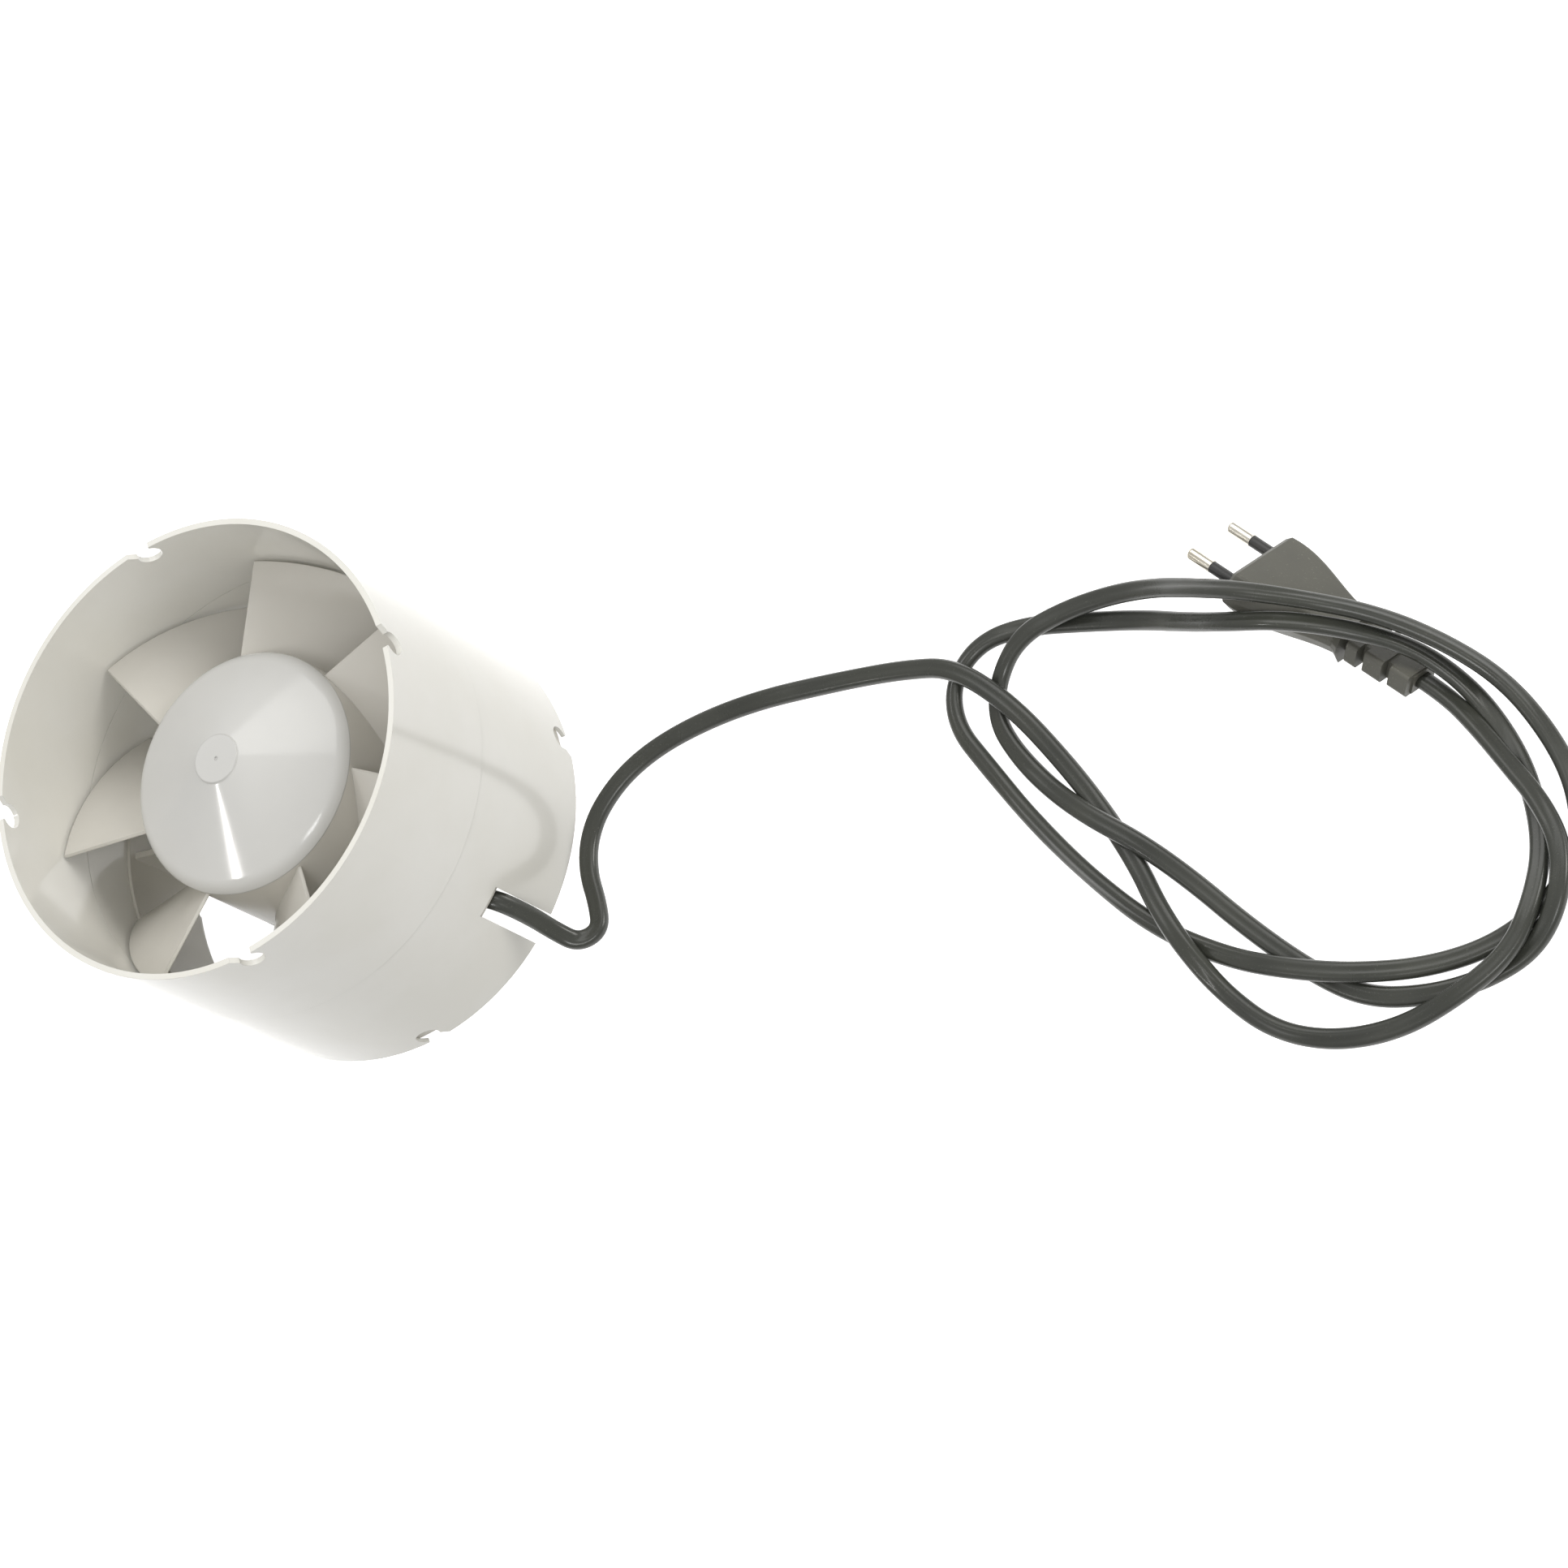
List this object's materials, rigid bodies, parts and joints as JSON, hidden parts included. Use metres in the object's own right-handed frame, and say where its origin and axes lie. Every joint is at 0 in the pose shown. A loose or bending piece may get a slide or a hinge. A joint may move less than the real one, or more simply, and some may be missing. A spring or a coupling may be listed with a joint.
{
  "type": "inline duct fan",
  "caption": "Round inline duct fan with a coned impeller hub, guide vane motor carrier, two-part plastic casing and a flat supply cord ending in a two-pin plug.",
  "frame": {"origin": "centre of the rear rim, where it stands on the floor", "axes": "+Z along the fan's axis from the rear (outlet) rim to the front (inlet) rim, +X from the axis to the cable slot in the rear casing"},
  "size_m": [0.4683, 0.2859, 0.108],
  "materials": {
    "casing_white": "glossy, smooth",
    "impeller_grey": "fine satin",
    "nose_grey": "satin",
    "carrier_grey": "fine satin",
    "dark_cord": "dull",
    "plug_black": "dull",
    "black_plastic": "dull",
    "nickel": "polished, lightly worn",
    "steel": "ground",
    "zinc_steel": "zinc plated",
    "lamination": "stacked sheet",
    "aluminium": "die cast",
    "winding": "enamelled copper wire",
    "rubber": "matt",
    "brass": "plain",
    "terminal_beige": "matt",
    "fuse_body": "satin"
  },
  "bodies": {
    "fan_body": {"front_casing": "casing_white", "rear_casing": "casing_white", "front_bearing_outer_race": "steel", "front_bearing_balls": "steel", "rear_bearing_outer_race": "steel", "rear_bearing_balls": "steel", "preload_washer": "steel", "front_shield": "aluminium", "rear_shield": "aluminium", "motor_can": "zinc_steel", "tie_bolts": "zinc_steel", "stator_core": "lamination", "stator_coils": "winding", "vane_carrier": "carrier_grey", "channel_cover": "carrier_grey", "cord_wedge": "carrier_grey", "rubber_bushings": "rubber", "motor_screws": "zinc_steel", "motor_nuts": "zinc_steel", "rear_cover": "carrier_grey", "cover_screws": "zinc_steel", "inner_cord": "dark_cord", "terminal_block": "terminal_beige", "terminal_screws": "zinc_steel", "thermal_fuse": "fuse_body", "plug_body": "plug_black", "plug_relief": "plug_black", "plug_pins": "nickel", "pin_sleeves": "black_plastic", "power_cord": "dark_cord"},
    "rotor": {"impeller": "impeller_grey", "nose_cone": "nose_grey", "hub_bush": "brass", "shaft": "steel", "shaft_nut": "zinc_steel", "shaft_washer": "zinc_steel", "shaft_clip": "steel", "rotor_core": "lamination", "rotor_end_rings": "aluminium", "front_bearing_inner_race": "steel", "rear_bearing_inner_race": "steel"}
  },
  "joints": [
    {"name": "impeller_spin", "type": "hinge", "parent": "fan_body", "child": "rotor", "pos_m": [0, 0, 0.05], "axis": [0, 0, 1], "continuous": true}
  ]
}
